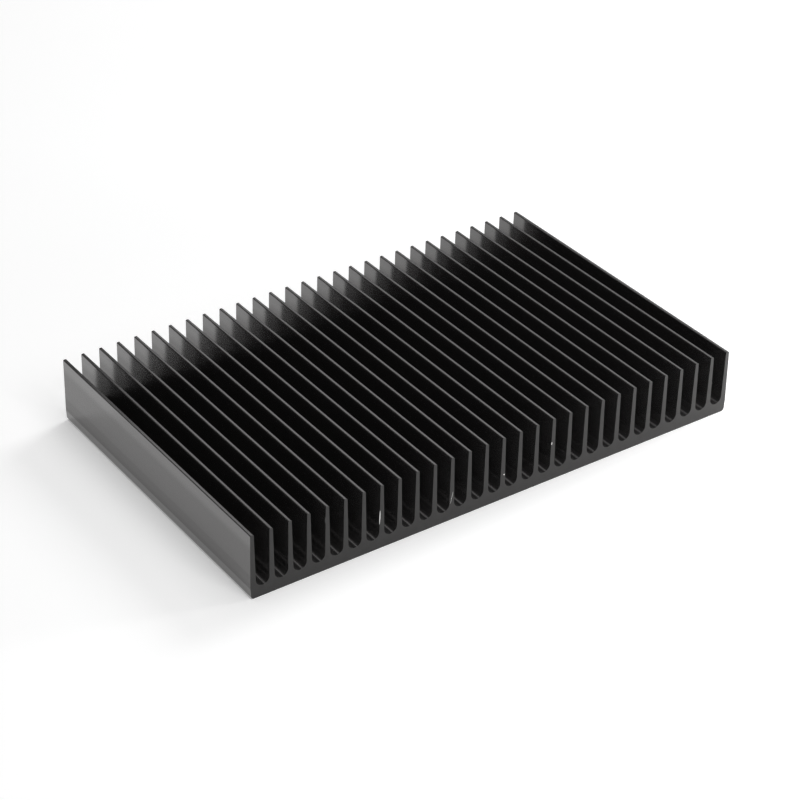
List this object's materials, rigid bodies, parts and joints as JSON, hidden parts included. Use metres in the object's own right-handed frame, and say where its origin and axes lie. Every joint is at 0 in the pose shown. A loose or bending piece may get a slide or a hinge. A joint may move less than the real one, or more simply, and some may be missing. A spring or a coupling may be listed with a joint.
{
  "type": "extruded aluminium heat sink",
  "caption": "Flat rectangular heat sink with straight tapered fins and round-bottomed grooves, extruded in one piece, sawn to length and black anodised.",
  "frame": {"origin": "middle of the underside, on the face that rests or takes the heat", "axes": "+X across the fins, +Y along the fins and grooves, +Z from the base to the fin tips"},
  "size_m": [0.16, 0.1, 0.02],
  "materials": {
    "black_anodised": "black anodised aluminium with a satin sheen on the extruded faces and duller sawn ends",
    "bare_metal": "bare aluminium where a fin's edge is nicked through the black"
  },
  "bodies": {
    "root": {"heat_sink": "black_anodised"}
  },
  "joints": []
}
